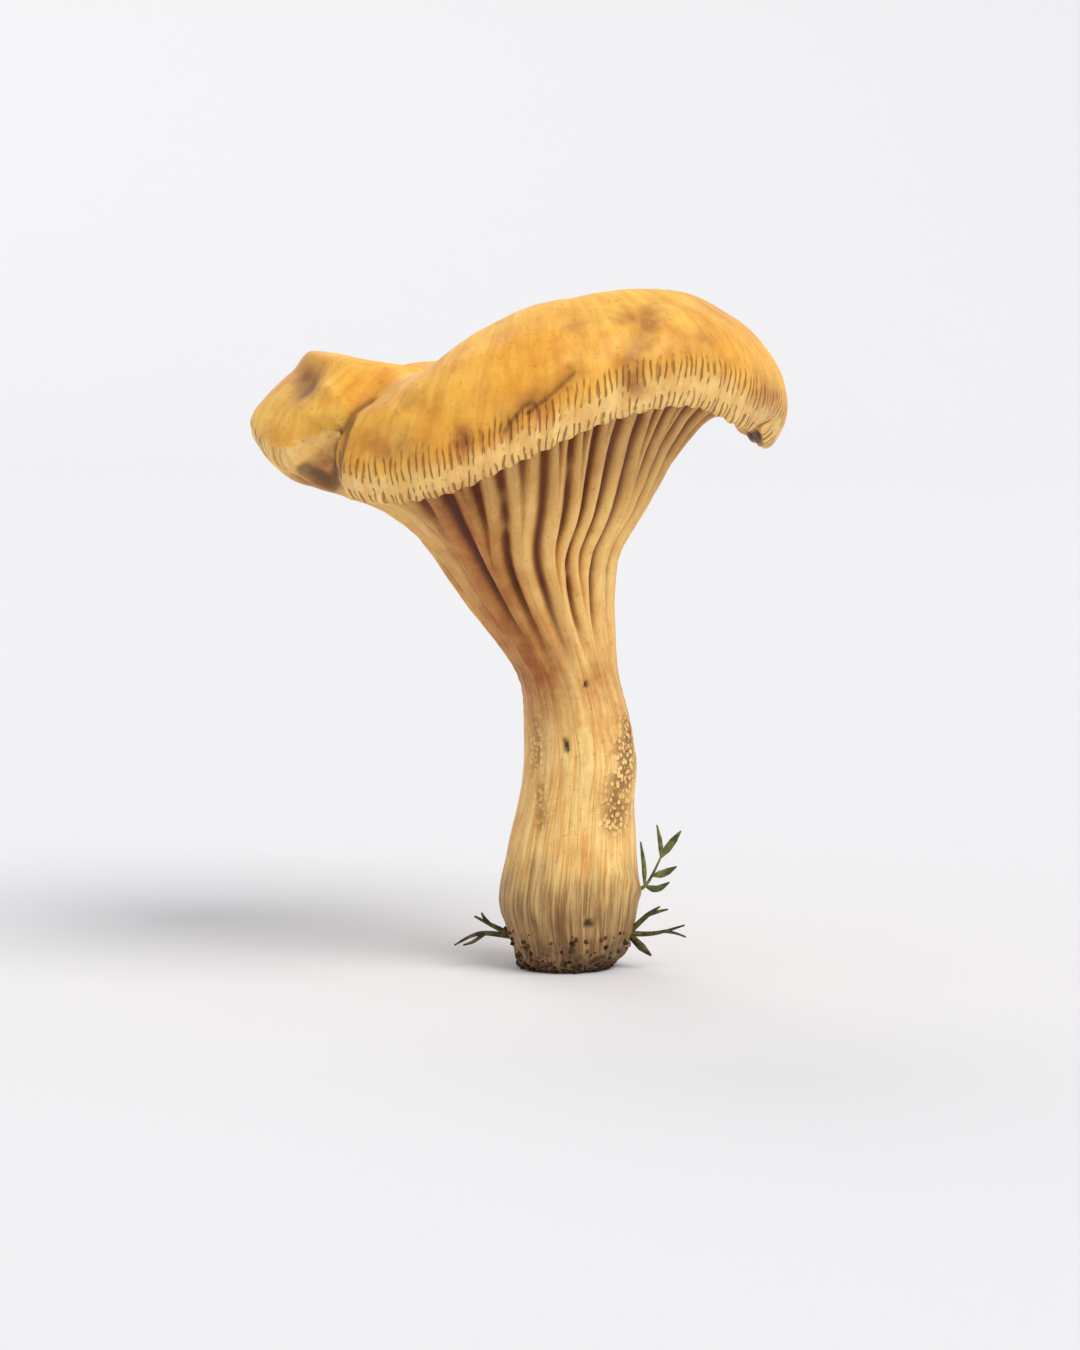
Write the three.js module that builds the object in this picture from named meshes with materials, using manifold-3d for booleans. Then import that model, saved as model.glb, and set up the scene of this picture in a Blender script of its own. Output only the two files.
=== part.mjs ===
import * as THREE from 'three';
import { mergeVertices } from 'three/addons/utils/BufferGeometryUtils.js';
import Module from 'manifold-3d';

// A chanterelle as it is picked, in millimetres, +Z up. It stands on the flat cut of its foot,
// and the origin lies on that cut. Stem, forked gills and funnel-shaped cap are one grown body.
// A few strands of moss and a leafy sprig from the forest floor still cling to the foot.

// Directions run anticlockwise from above: 0 is +X, 90 the back, 180 -X and 270 the front.
// Each list round the cap has 16 values, one for every 22.5 degrees.
const CAP_CENTRE = [-6.0, 1.0];
const RIM_RADIUS = [33.5, 34.5, 32.0, 33.5, 31.0, 30.0, 33.5, 34.0,
  38.0, 35.3, 31.7, 30.0, 29.3, 29.8, 31.0, 32.0];
const RIM_HEIGHT = [73.4, 73.4, 81.0, 79.5, 75.5, 79.5, 78.0, 76.0,
  75.6, 70.0, 67.2, 68.2, 73.2, 78.2, 79.9, 76.4];
const GILL_TOP_HEIGHT = [78.0, 82.5, 85.5, 83.0, 79.5, 79.0, 77.0, 75.0,
  71.2, 67.4, 68.0, 73.0, 79.0, 83.5, 84.0, 81.0];
const CREST_RADIUS = [18.5, 19.5, 20.0, 21.0, 20.5, 20.0, 21.0, 26.0,
  29.2, 25.5, 19.0, 17.5, 17.5, 18.0, 18.5, 18.5];
const CREST_HEIGHT = [94.0, 94.2, 93.0, 91.0, 88.0, 84.4, 83.3, 85.1,
  86.5, 86.1, 84.0, 88.9, 92.6, 94.0, 94.8, 94.7];
// How far the rolled edge bulges past the rim, and how high above the rim it is widest.
const ROLL_BULGE = [2.8, 2.2, 1.8, 1.5, 1.5, 1.5, 1.5, 1.2,
  0.3, 0.8, 1.4, 1.6, 1.7, 1.9, 2.2, 2.6];
const ROLL_HEIGHT = [4.8, 4.6, 4.2, 4.2, 4.4, 4.4, 4.0, 3.4,
  2.2, 3.6, 4.6, 5.2, 5.6, 5.8, 5.8, 5.2];
// The slope from the rolled edge to the crest: 1 is round, 0 straight.
const ROUNDNESS = [1.0, 1.0, 0.9, 0.9, 0.9, 0.8, 0.7, 0.4,
  0.25, 0.6, 1.0, 1.0, 1.0, 1.0, 1.0, 1.0];

// The funnel in the middle of the cap.
const FUNNEL_CENTRE = [-10.5, 2.0];
const FUNNEL_FLOOR = 71.0;
// Rings down its wall: share of the crest radius, and share of the height above the floor.
const FUNNEL_WALL = [[0.7, 0.45], [0.36, 0.1]];

// The split in the edge at the front left, and the pleat that runs up from it.
const SPLIT_AT = 209.5;
const SPLIT_WIDTH = 6.5;
const SPLIT_DEPTH = 4.6;
const SPLIT_RISE = 6.8;
// How much deeper than its edge the split is hollowed out underneath.
const SPLIT_HOLLOW = 5.0;
// Two rings lie between the rolled edge and the crest. Each has its lean from upright in degrees,
// its share of the split's depth, and how far it rises (or sinks, in the pleat) above the split.
const SLOPE_RINGS = [[64, 0.55, 1.2], [34, 0.15, -1.0]];
// How far the pleat drifts towards the front on its way up, in degrees.
const PLEAT_DRIFT = 14.0;
// The nick in the edge beside the tip that curls down at the right.
const NICK_AT = 349.0;
const NICK_WIDTH = 5.0;
const NICK_RISE = 2.2;

// The stem's sections, from the flat cut up: height, centre X, radius.
const STEM = [
  [0.0, -0.9, 5.9],
  [1.0, -0.4, 6.9],
  [3.2, 0.1, 8.1],
  [9.5, -0.2, 9.6],
  [16.5, 0.3, 8.9],
  [23.0, 0.8, 8.1],
  [29.5, 1.4, 7.9],
  [35.5, 0.9, 7.5],
  [41.0, -0.2, 7.1],
];
const STEM_OVAL = 0.03;
const STEM_TWIST = 4.0;
// The neck, where the gills begin: height, centre X, centre Y, radius.
const NECK_SECTIONS = [
  [46.0, -1.9, 0.2, 7.95],
  [52.0, -4.3, 0.6, 9.9],
  [58.6, -6.2, 1.0, 12.5],
];
// The shoulder, where the neck flares into the cap. It follows the gills' top up and down a little.
const SHOULDER_RADIUS = 16.0;
const SHOULDER_HEIGHT = 64.4;
const SHOULDER_TILT = 0.3;
const LEVEL_GILL_TOP = 76.0;
const TILT_LIMIT = 80.0;
// The gills' top: its share of the rim radius, and the ring half way out to it.
const GILL_TOP_SHARE = 0.78;
const MIDDLE_OUT = 0.46;
const MIDDLE_UP = 0.6;
// How far out the turn from the gills' top down to the rim lies.
const TURN_OUT = 0.7;

// The gills are blunt ridges. Each one forks twice on its way up, into four at the rim.
const GILLS = 72;
const GILL_HEIGHT = 1.6;
const FORK_START = 0.2;
const GILL_SWAY = 1.3;
// The gills fade out this many degrees from the split.
const SMOOTH_BY_SPLIT = 8.0;

// Moss and sprig.
const STRAND_THICKNESS = 0.6;
const CLEARANCE = 0.35;

const FLESH_COLOUR = 0xe8ad4a;
const MOSS_COLOUR = 0x4a4423;
const LEAF_COLOUR = 0x5d6b2c;

// Ring numbers along the profile, from the foot's edge (0) to the middle of the funnel.
const NECK = STEM.length;
const RIM = NECK + 7;
const CREST = RIM + 4;
const LAST_RING = CREST + FUNNEL_WALL.length + 1;
// Rows of points: from ring, to ring, step, points in a row.
const ROW_PLAN = [
  [0, 4, 0.5, 72],
  [4, 7.5, 1, 72],
  [7.5, CREST, 0.5, 144],
  [CREST, LAST_RING, 0.5, 72],
];

// The smooth curve through b and c, whose neighbours are a and d, at f from 0 to 1.
function between(a, b, c, d, f) {
  return b + 0.5 * f * (c - a + f * (2 * a - 5 * b + 4 * c - d + f * (3 * (b - c) + d - a)));
}

// The smooth closed curve through a list of values round the cap.
function around(values, degrees) {
  const count = values.length;
  const place = (((degrees / 360) * count) % count + count) % count;
  const i = Math.floor(place);
  const value = (k) => values[(i + k + count) % count];
  return between(value(-1), value(0), value(1), value(2), place - i);
}

function mix(from, to, share) {
  return from + (to - from) * share;
}

function smoothStep(x, from, to) {
  const f = Math.min(Math.max((x - from) / (to - from), 0), 1);
  return f * f * (3 - 2 * f);
}

// A bell-shaped weight round a direction.
function bell(degrees, at, width) {
  const away = ((((degrees - at + 180) % 360) + 360) % 360) - 180;
  return Math.exp(-((away / width) ** 2));
}

// A number from 0 to 1 that looks random and is the same each time.
function chance(i, k) {
  const x = Math.sin(i * 127.1 + k * 311.7) * 43758.5453;
  return x - Math.floor(x);
}

function polar(degrees, centreX, centreY, radius, z) {
  const angle = THREE.MathUtils.degToRad(degrees);
  return [centreX + radius * Math.cos(angle), centreY + radius * Math.sin(angle), z];
}

// The profile's ring points in one direction, from the foot's edge to the middle of the funnel.
function profile(degrees) {
  const split = bell(degrees, SPLIT_AT, SPLIT_WIDTH);
  const nick = bell(degrees, NICK_AT, NICK_WIDTH);
  const [capX, capY] = CAP_CENTRE;
  const [funnelX, funnelY] = FUNNEL_CENTRE;
  const rings = [];

  for (const [z, x, radius] of STEM) {
    const twist = THREE.MathUtils.degToRad(2 * degrees + STEM_TWIST * z);
    const oval = 1 + STEM_OVAL * Math.cos(twist) * Math.min(1, 0.3 + z / 20);
    rings.push(polar(degrees, x, 0, radius * oval, z));
  }
  for (const [z, x, y, radius] of NECK_SECTIONS) {
    rings.push(polar(degrees, x, y, radius, z));
  }

  // Out along the gills to the rim.
  const rimRadius = around(RIM_RADIUS, degrees);
  const rimHeight = around(RIM_HEIGHT, degrees);
  const gillTop = around(GILL_TOP_HEIGHT, degrees);
  const edgeRadius = rimRadius - SPLIT_DEPTH * split;
  const edgeHeight = rimHeight + SPLIT_RISE * split + NICK_RISE * nick;
  const tilt = Math.min(gillTop, TILT_LIMIT) - LEVEL_GILL_TOP;
  const shoulder = SHOULDER_HEIGHT + SHOULDER_TILT * tilt;
  const topRadius = GILL_TOP_SHARE * rimRadius - 0.5 * SPLIT_HOLLOW * split;
  const middle = mix(SHOULDER_RADIUS, topRadius, MIDDLE_OUT);
  rings.push(polar(degrees, capX, capY, SHOULDER_RADIUS, shoulder));
  rings.push(polar(degrees, capX, capY, middle, mix(shoulder, gillTop, MIDDLE_UP)));
  rings.push(polar(degrees, capX, capY, topRadius, gillTop));
  const turn = mix(topRadius, edgeRadius, TURN_OUT) - 0.6 * SPLIT_HOLLOW * split;
  rings.push(polar(degrees, capX, capY, turn, mix(gillTop, edgeHeight, 0.5)));
  rings.push(polar(degrees, capX, capY, edgeRadius, edgeHeight));

  // Over the rolled edge and up the outside to the crest.
  const bulge = around(ROLL_BULGE, degrees);
  const roll = around(ROLL_HEIGHT, degrees);
  const fullRadius = rimRadius + bulge;
  const fullHeight = rimHeight + roll;
  const crestRadius = around(CREST_RADIUS, degrees);
  const crestHeight = around(CREST_HEIGHT, degrees);
  const roundness = around(ROUNDNESS, degrees);
  const outHeight = edgeHeight + roll * (1 - 0.7 * split - 0.4 * nick);
  rings.push(polar(degrees, capX, capY, edgeRadius + bulge * (1 - split), outHeight));
  for (const [lean, splitShare, rise] of SLOPE_RINGS) {
    const angle = THREE.MathUtils.degToRad(lean);
    const out = mix(lean / 90, Math.sin(angle), roundness);
    const up = mix(1 - lean / 90, Math.cos(angle), roundness);
    const pleat = bell(degrees, SPLIT_AT + PLEAT_DRIFT * (1 - lean / 90), SPLIT_WIDTH);
    const radius = mix(crestRadius, fullRadius, out) - SPLIT_DEPTH * pleat * splitShare;
    const z = mix(fullHeight, crestHeight, up) + rise * pleat;
    rings.push(polar(degrees, capX, capY, radius, z));
  }
  rings.push(polar(degrees, capX, capY, crestRadius, crestHeight));

  // Down the funnel.
  for (const [share, up] of FUNNEL_WALL) {
    const x = mix(funnelX, capX, share);
    const y = mix(funnelY, capY, share);
    rings.push(polar(degrees, x, y, share * crestRadius, mix(FUNNEL_FLOOR, crestHeight, up)));
  }
  rings.push([funnelX, funnelY, FUNNEL_FLOOR]);
  return rings;
}

// A point of the smooth body, before the gills are raised. t is a ring number, not always whole.
function bodyPoint(degrees, t) {
  const rings = profile(degrees);
  const k = Math.min(Math.floor(t), LAST_RING - 1);
  const ring = (i) => rings[Math.min(Math.max(i, 0), LAST_RING)];
  const before = k === 0
    ? rings[0].map((value, axis) => 2 * value - rings[1][axis])
    : ring(k - 1);
  return ring(k).map((value, axis) =>
    between(before[axis], value, ring(k + 1)[axis], ring(k + 2)[axis], t - k));
}

// How far the branches of each fork have parted at u, from FORK_START to 1.
// u runs from 0 at the neck to 1 at the rim.
function lateFork(pair, u) {
  const start = 0.42 + 0.33 * chance(pair, 1);
  return mix(FORK_START, 1, smoothStep(u, start, start + 0.22));
}

function earlyFork(four, u) {
  const start = 0.02 + 0.36 * chance(four, 2);
  return mix(FORK_START, 1, smoothStep(u, start, start + 0.34));
}

// The direction of one gill's crest at u, in degrees.
function gillDirection(gill, u) {
  const i = ((gill % GILLS) + GILLS) % GILLS;
  const turns = (gill - i) / GILLS;
  const pitch = 360 / GILLS;
  const pair = Math.floor(i / 2);
  const four = Math.floor(i / 4);
  const pairMiddle = (pair * 2 + 0.5) * pitch;
  const fourMiddle = (four * 4 + 1.5) * pitch;
  const wave = GILL_SWAY * Math.sin(5 * u + 2 * Math.PI * chance(four, 3));
  const sway = (wave + 2.2 * (chance(four, 4) - 0.5)) * (1 - smoothStep(u, 0.85, 1.05));
  const fromFour = earlyFork(four, u) * (pairMiddle - fourMiddle);
  const fromPair = lateFork(pair, u) * (i * pitch - pairMiddle);
  return fourMiddle + fromFour + fromPair + sway + 360 * turns;
}

// The direction of a column of points, which follows the gills where there are gills.
// column counts in gills: a whole number is a crest, and half way between is a valley.
function columnDirection(column, t) {
  const u = Math.min(Math.max((t - NECK) / (RIM - NECK), 0), 1);
  const gill = Math.floor(column);
  const along = mix(gillDirection(gill, u), gillDirection(gill + 1, u), column - gill);
  const even = (column * 360) / GILLS;
  const weight = smoothStep(t, 3, 8.5) * (1 - smoothStep(t, RIM - 1, RIM + 1));
  return mix(even, along, weight);
}

// How far the gills stand out from the smooth body.
function gillRelief(column, t) {
  const tall = GILL_HEIGHT * smoothStep(t, 7.2, 10.6) * (1 - smoothStep(t, RIM - 1.5, RIM - 0.1));
  const u = Math.min(Math.max((t - NECK) / (RIM - NECK), 0), 1);
  const gill = Math.floor(column);
  const parted = (fork) => (fork - FORK_START) / (1 - FORK_START);
  let valley = 1;
  if (gill % 2 === 0) {
    valley = parted(lateFork(gill / 2, u));
  } else if (gill % 4 === 1) {
    valley = parted(earlyFork((gill - 1) / 4, u));
  }
  const away = 2 * Math.min(column - gill, gill + 1 - column);
  return tall * (0.5 - valley * smoothStep(away, 0.1, 0.85));
}

function surfacePoint(column, t) {
  const at = (dc, dt) => {
    const place = Math.min(Math.max(t + dt, 0), LAST_RING);
    return new THREE.Vector3(...bodyPoint(columnDirection(column + dc, place), place));
  };
  const point = at(0, 0);
  const fade = 1 - bell(columnDirection(column, t), SPLIT_AT, SMOOTH_BY_SPLIT);
  const relief = gillRelief(column, t) * fade;
  if (relief === 0) {
    return point;
  }
  const across = at(0.3, 0).sub(at(-0.3, 0));
  const along = at(0, 0.1).sub(at(0, -0.1));
  return point.addScaledVector(across.cross(along).normalize(), relief);
}

// Adds the band of triangles between two closed rows of points, which may differ in number.
function joinRows(faces, lower, upper) {
  let i = 0;
  let j = 0;
  while (i < lower.length || j < upper.length) {
    const a = lower[i % lower.length];
    const b = upper[j % upper.length];
    const lowerNext = (i + 1) / lower.length <= (j + 1) / upper.length;
    if (j === upper.length || (i < lower.length && lowerNext)) {
      i += 1;
      faces.push(a, lower[i % lower.length], b);
    } else {
      j += 1;
      faces.push(a, upper[j % upper.length], b);
    }
  }
}

function closeRow(faces, row, tip, upward) {
  row.forEach((point, i) => {
    const next = row[(i + 1) % row.length];
    faces.push(...(upward ? [point, next, tip] : [next, point, tip]));
  });
}

// A closed body through rows of points, with a single point at each end.
function closedGeometry(first, rows, last) {
  const positions = [...first];
  const faces = [];
  const numbered = rows.map((row) => row.map((point) => {
    positions.push(point.x, point.y, point.z);
    return positions.length / 3 - 1;
  }));
  positions.push(...last);
  closeRow(faces, numbered[0], 0, false);
  for (let i = 1; i < numbered.length; i += 1) {
    joinRows(faces, numbered[i - 1], numbered[i]);
  }
  closeRow(faces, numbered[numbered.length - 1], positions.length / 3 - 1, true);
  const geometry = new THREE.BufferGeometry();
  geometry.setAttribute('position', new THREE.Float32BufferAttribute(positions, 3));
  geometry.setIndex(faces);
  geometry.computeVertexNormals();
  return geometry;
}

function chanterelleGeometry() {
  const rows = [];
  for (const [from, to, step, points] of ROW_PLAN) {
    for (let t = from; t < to; t += step) {
      const row = [];
      for (let i = 0; i < points; i += 1) {
        row.push(surfacePoint((i * GILLS) / points, t));
      }
      rows.push(row);
    }
  }
  const foot = [STEM[0][1], 0, 0];
  const middle = [...FUNNEL_CENTRE, FUNNEL_FLOOR];
  return closedGeometry(foot, rows, middle);
}

// The foot's own surface in a direction at a height, moved outward by clear.
function besideFoot(degrees, height, clear) {
  let low = 0;
  let high = NECK;
  for (let i = 0; i < 40; i += 1) {
    const t = (low + high) / 2;
    if (bodyPoint(degrees, t)[2] < height) {
      low = t;
    } else {
      high = t;
    }
  }
  const [x, y] = bodyPoint(degrees, low);
  const angle = THREE.MathUtils.degToRad(degrees);
  return [x + clear * Math.cos(angle), y + clear * Math.sin(angle), height];
}

// A strand or leaf along a path, six-sided, with its width given at each point of the path.
function bladeGeometry(path, widths) {
  const curve = new THREE.CatmullRomCurve3(path.map((point) => new THREE.Vector3(...point)));
  const steps = (path.length - 1) * 3;
  const rows = [];
  for (let i = 0; i <= steps; i += 1) {
    const share = i / steps;
    const centre = curve.getPoint(share);
    const forward = curve.getTangent(share);
    const side = new THREE.Vector3(0, 1, 0).cross(forward).normalize();
    const face = forward.clone().cross(side);
    const place = share * (widths.length - 1);
    const k = Math.min(Math.floor(place), widths.length - 2);
    const width = mix(widths[k], widths[k + 1], place - k);
    const thickness = Math.min(width, STRAND_THICKNESS);
    const row = [];
    for (let corner = 0; corner < 6; corner += 1) {
      const angle = (corner * Math.PI) / 3;
      row.push(centre.clone()
        .addScaledVector(side, 0.5 * width * Math.cos(angle))
        .addScaledVector(face, 0.5 * thickness * Math.sin(angle)));
    }
    rows.push(row);
  }
  return closedGeometry(path[0], rows, path[path.length - 1]);
}

const wasm = await Module();
wasm.setup();

function solidOf(geometry) {
  const merged = geometry.clone();
  merged.deleteAttribute('normal');
  const welded = mergeVertices(merged);
  return new wasm.Manifold(new wasm.Mesh({
    numProp: 3,
    vertProperties: Float32Array.from(welded.attributes.position.array),
    triVerts: Uint32Array.from(welded.index.array),
  }));
}

// One body made of blades that grow out of each other.
function tuftGeometry(blades) {
  let solid = null;
  for (const [path, widths] of blades) {
    const blade = solidOf(bladeGeometry(path, widths));
    solid = solid === null ? blade : solid.add(blade);
  }
  const mesh = solid.getMesh();
  const geometry = new THREE.BufferGeometry();
  geometry.setAttribute('position', new THREE.Float32BufferAttribute(mesh.vertProperties, 3));
  geometry.setIndex(new THREE.Uint32BufferAttribute(mesh.triVerts, 1));
  geometry.computeVertexNormals();
  return geometry;
}

function mesh(name, geometry, color, roughness) {
  const material = new THREE.MeshStandardMaterial({ color, roughness, metalness: 0 });
  const made = new THREE.Mesh(geometry, material);
  made.name = name;
  return made;
}

// Each blade: the points of its path, then its widths from root to tip.
const leftRoot = besideFoot(185, 4.4, CLEARANCE + 0.6);
const leftMoss = [
  [[leftRoot, [-11.2, -1.2, 6.2], [-13.4, -1.6, 7.4]], [1.1, 0.8, 0.6]],
  [[[-11.2, -1.2, 6.2], [-12.0, -1.9, 7.2], [-12.4, -2.2, 8.0]], [0.8, 0.7, 0.6]],
  [[leftRoot, [-11.9, -1.0, 4.9], [-14.0, -1.4, 4.5], [-16.2, -2.2, 3.4]], [1.2, 0.9, 0.7, 0.6]],
  [[[-11.9, -1.0, 4.9], [-13.6, -0.4, 3.6], [-15.0, 0.2, 3.0]], [0.9, 0.7, 0.6]],
];
const rightRoot = besideFoot(352, 4.9, CLEARANCE + 0.6);
const rightMoss = [
  [[rightRoot, [10.9, -1.8, 7.6], [12.6, -2.4, 8.9]], [1.2, 0.9, 0.6]],
  [[[10.9, -1.8, 7.6], [12.4, -1.2, 8.0], [13.8, -1.0, 8.3]], [0.9, 0.7, 0.6]],
  [[rightRoot, [10.9, -1.6, 4.9], [13.3, -1.8, 5.3], [16.1, -2.0, 6.2]], [1.2, 0.9, 0.8, 0.6]],
  [[[13.3, -1.8, 5.3], [14.8, -1.6, 5.0], [16.3, -1.2, 4.4]], [0.8, 0.7, 0.6]],
  [[rightRoot, [10.0, -2.4, 3.2], [11.4, -2.8, 2.0]], [1.2, 1.3, 0.7]],
];
const sprigRoot = besideFoot(356, 10.6, CLEARANCE + 0.5);
const sprig = [
  [[sprigRoot, [10.5, -0.9, 11.6], [11.5, -0.8, 13.0], [12.8, -0.8, 15.7]], [1.0, 0.8, 0.7, 0.7]],
  [[[12.8, -0.8, 15.6], [12.7, -1.0, 17.6], [12.2, -1.2, 20.3]], [0.7, 0.9, 0.6]],
  [[[12.8, -0.8, 15.6], [14.1, -0.8, 17.4], [15.6, -0.8, 19.4]], [0.7, 1.3, 0.6]],
  [[[11.5, -0.8, 13.0], [13.2, -1.0, 13.4], [15.0, -1.2, 14.4]], [0.7, 1.3, 0.6]],
  [[[10.5, -0.9, 11.6], [10.4, -1.4, 14.4], [9.9, -1.8, 18.0]], [0.7, 1.0, 0.6]],
  [[[10.5, -0.9, 11.6], [12.2, -1.2, 11.2], [14.0, -1.4, 12.2]], [0.7, 1.2, 0.6]],
];

const part = new THREE.Group();
part.add(mesh('chanterelle', chanterelleGeometry(), FLESH_COLOUR, 0.62));
part.add(mesh('moss_left', tuftGeometry(leftMoss), MOSS_COLOUR, 0.9));
part.add(mesh('moss_right', tuftGeometry(rightMoss), MOSS_COLOUR, 0.9));
part.add(mesh('leafy_sprig', tuftGeometry(sprig), LEAF_COLOUR, 0.8));

export default part;
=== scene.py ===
"""A picked chanterelle standing on a pale table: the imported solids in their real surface."""

import math

import bpy
import numpy as np
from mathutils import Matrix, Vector, noise


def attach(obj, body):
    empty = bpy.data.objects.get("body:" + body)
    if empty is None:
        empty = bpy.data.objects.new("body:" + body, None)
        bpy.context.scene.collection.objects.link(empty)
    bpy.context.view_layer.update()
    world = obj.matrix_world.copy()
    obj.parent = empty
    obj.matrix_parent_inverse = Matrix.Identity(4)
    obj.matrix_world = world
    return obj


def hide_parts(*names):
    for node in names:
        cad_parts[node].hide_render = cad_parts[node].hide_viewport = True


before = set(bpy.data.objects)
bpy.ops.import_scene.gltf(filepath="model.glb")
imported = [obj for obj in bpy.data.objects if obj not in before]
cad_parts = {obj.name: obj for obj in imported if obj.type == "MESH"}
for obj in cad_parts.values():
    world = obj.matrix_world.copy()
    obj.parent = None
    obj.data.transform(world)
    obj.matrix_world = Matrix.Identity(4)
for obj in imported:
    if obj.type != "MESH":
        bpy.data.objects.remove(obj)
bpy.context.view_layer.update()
MM = 0.001

# The form, in millimetres, as in the part's source. Directions run anticlockwise from above:
# 0 is +X, 90 the back, 180 -X and 270 the front. Lists round the cap have 16 values.
CAP_CENTRE = (-6.0, 1.0)
RIM_RADIUS = (
    33.5, 34.5, 32.0, 33.5, 31.0, 30.0, 33.5, 34.0,
    38.0, 35.3, 31.7, 30.0, 29.3, 29.8, 31.0, 32.0,
)
RIM_HEIGHT = (
    73.4, 73.4, 81.0, 79.5, 75.5, 79.5, 78.0, 76.0,
    75.6, 70.0, 67.2, 68.2, 73.2, 78.2, 79.9, 76.4,
)
GILL_TOP_HEIGHT = (
    78.0, 82.5, 85.5, 83.0, 79.5, 79.0, 77.0, 75.0,
    71.2, 67.4, 68.0, 73.0, 79.0, 83.5, 84.0, 81.0,
)
CREST_RADIUS = (
    18.5, 19.5, 20.0, 21.0, 20.5, 20.0, 21.0, 26.0,
    29.2, 25.5, 19.0, 17.5, 17.5, 18.0, 18.5, 18.5,
)
CREST_HEIGHT = (
    94.0, 94.2, 93.0, 91.0, 88.0, 84.4, 83.3, 85.1,
    86.5, 86.1, 84.0, 88.9, 92.6, 94.0, 94.8, 94.7,
)
ROLL_BULGE = (
    2.8, 2.2, 1.8, 1.5, 1.5, 1.5, 1.5, 1.2,
    0.3, 0.8, 1.4, 1.6, 1.7, 1.9, 2.2, 2.6,
)
ROLL_HEIGHT = (
    4.8, 4.6, 4.2, 4.2, 4.4, 4.4, 4.0, 3.4,
    2.2, 3.6, 4.6, 5.2, 5.6, 5.8, 5.8, 5.2,
)
ROUNDNESS = (
    1.0, 1.0, 0.9, 0.9, 0.9, 0.8, 0.7, 0.4,
    0.25, 0.6, 1.0, 1.0, 1.0, 1.0, 1.0, 1.0,
)
FUNNEL_CENTRE = (-10.5, 2.0)
FUNNEL_FLOOR = 71.0
FUNNEL_WALL = ((0.7, 0.45), (0.36, 0.1))
# The split in the edge at the front left, hollowed out underneath, and the pleat above it.
SPLIT_AT, SPLIT_WIDTH, SPLIT_DEPTH, SPLIT_RISE, SPLIT_HOLLOW = 209.5, 6.5, 4.6, 6.8, 5.0
# Shares of that hollow at the gills' top and at the turn to the rim.
TOP_HOLLOW, TURN_HOLLOW = 0.5, 0.6
# Two rings lie between the rolled edge and the crest. Each has its lean, its share of the
# split's depth and its rise above the split.
SLOPE_RINGS = ((64.0, 0.55, 1.2), (34.0, 0.15, -1.0))
PLEAT_DRIFT = 14.0
NICK_AT, NICK_WIDTH, NICK_RISE = 349.0, 5.0, 2.2
# How much the split and the nick flatten the rolled edge.
SPLIT_FLATTENS, NICK_FLATTENS = 0.7, 0.4
# The stem's sections: height, centre X, radius. The neck's: height, centre X, centre Y, radius.
STEM = (
    (0.0, -0.9, 5.9), (1.0, -0.4, 6.9), (3.2, 0.1, 8.1), (9.5, -0.2, 9.6), (16.5, 0.3, 8.9),
    (23.0, 0.8, 8.1), (29.5, 1.4, 7.9), (35.5, 0.9, 7.5), (41.0, -0.2, 7.1),
)
STEM_OVAL, STEM_TWIST = 0.03, 4.0
NECK_SECTIONS = ((46.0, -1.9, 0.2, 7.95), (52.0, -4.3, 0.6, 9.9), (58.6, -6.2, 1.0, 12.5))
# The shoulder follows the gills' top up and down a little.
SHOULDER_RADIUS, SHOULDER_HEIGHT = 16.0, 64.4
SHOULDER_TILT, LEVEL_GILL_TOP, TILT_LIMIT = 0.3, 76.0, 80.0
# The gills' top as a share of the rim's radius, the ring half way out to it, and the turn.
GILL_TOP_SHARE, MIDDLE_OUT, MIDDLE_UP, TURN_OUT = 0.78, 0.46, 0.6, 0.7
GILLS, GILL_HEIGHT, SMOOTH_BY_SPLIT = 72, 1.6, 8.0
GILL_SWAY, SWAY_TURN, GILL_SHIFT = 1.3, 5.0, 2.2
# Where forks start to part, how far those places spread and how long the parting takes,
# from 0 at the neck to 1 at the rim. Branches lie FORK_START apart before they part.
FORK_START = 0.2
LATE_FORK = (0.42, 0.33, 0.22)
EARLY_FORK = (0.02, 0.36, 0.34)
VALLEY_WALL = (0.05, 1.15)
# Thin veins across the valleys: how many at most, places, rarity, slant, width and how full.
VEINS, VEIN_FIRST, VEIN_SPREAD, VEIN_RARITY = 3, 0.08, 0.86, 0.62
VEIN_SLANT, VEIN_WIDTH, VEIN_FILL = 0.12, 0.02, 0.25
# Ring numbers along the profile, from the foot's edge (0) to the middle of the funnel.
NECK = len(STEM)
RIM = NECK + 7
CREST = RIM + 4
LAST_RING = CREST + len(FUNNEL_WALL) + 1

COLUMNS = 576
# Rows of points: from ring, to ring, rows in each ring, and how many columns one point stands for.
ROW_PLAN = (
    (0, 1, 3, 2), (1, 2, 5, 2), (2, 3, 12, 2), (3, NECK, 12, 2), (NECK, RIM, 9, 1),
    (RIM, RIM + 1, 12, 1), (RIM + 1, CREST, 11, 1), (CREST, LAST_RING, 7, 2),
)

# The camera looks slightly down at the front: millimetres and degrees.
VIEW_MIDDLE = (-4.2, 0.0, 41.3)
VIEW_DISTANCE = 630.0
VIEW_ELEVATION = 6.0


def between(a, b, c, d, f):
    """The smooth curve through b and c, whose neighbours are a and d, at f from 0 to 1."""
    return b + 0.5 * f * (c - a + f * (2 * a - 5 * b + 4 * c - d + f * (3 * (b - c) + d - a)))


def around(values, degrees):
    v = np.asarray(values, float)
    place = (degrees / 360.0 * len(v)) % len(v)
    i = np.floor(place).astype(int)
    value = lambda k: v[(i + k) % len(v)]
    return between(value(-1), value(0), value(1), value(2), place - i)


def mix(a, b, share):
    return a + (b - a) * share


def smooth(x, low, high):
    f = np.clip((np.asarray(x, float) - low) / (high - low), 0.0, 1.0)
    return f * f * (3 - 2 * f)


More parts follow.
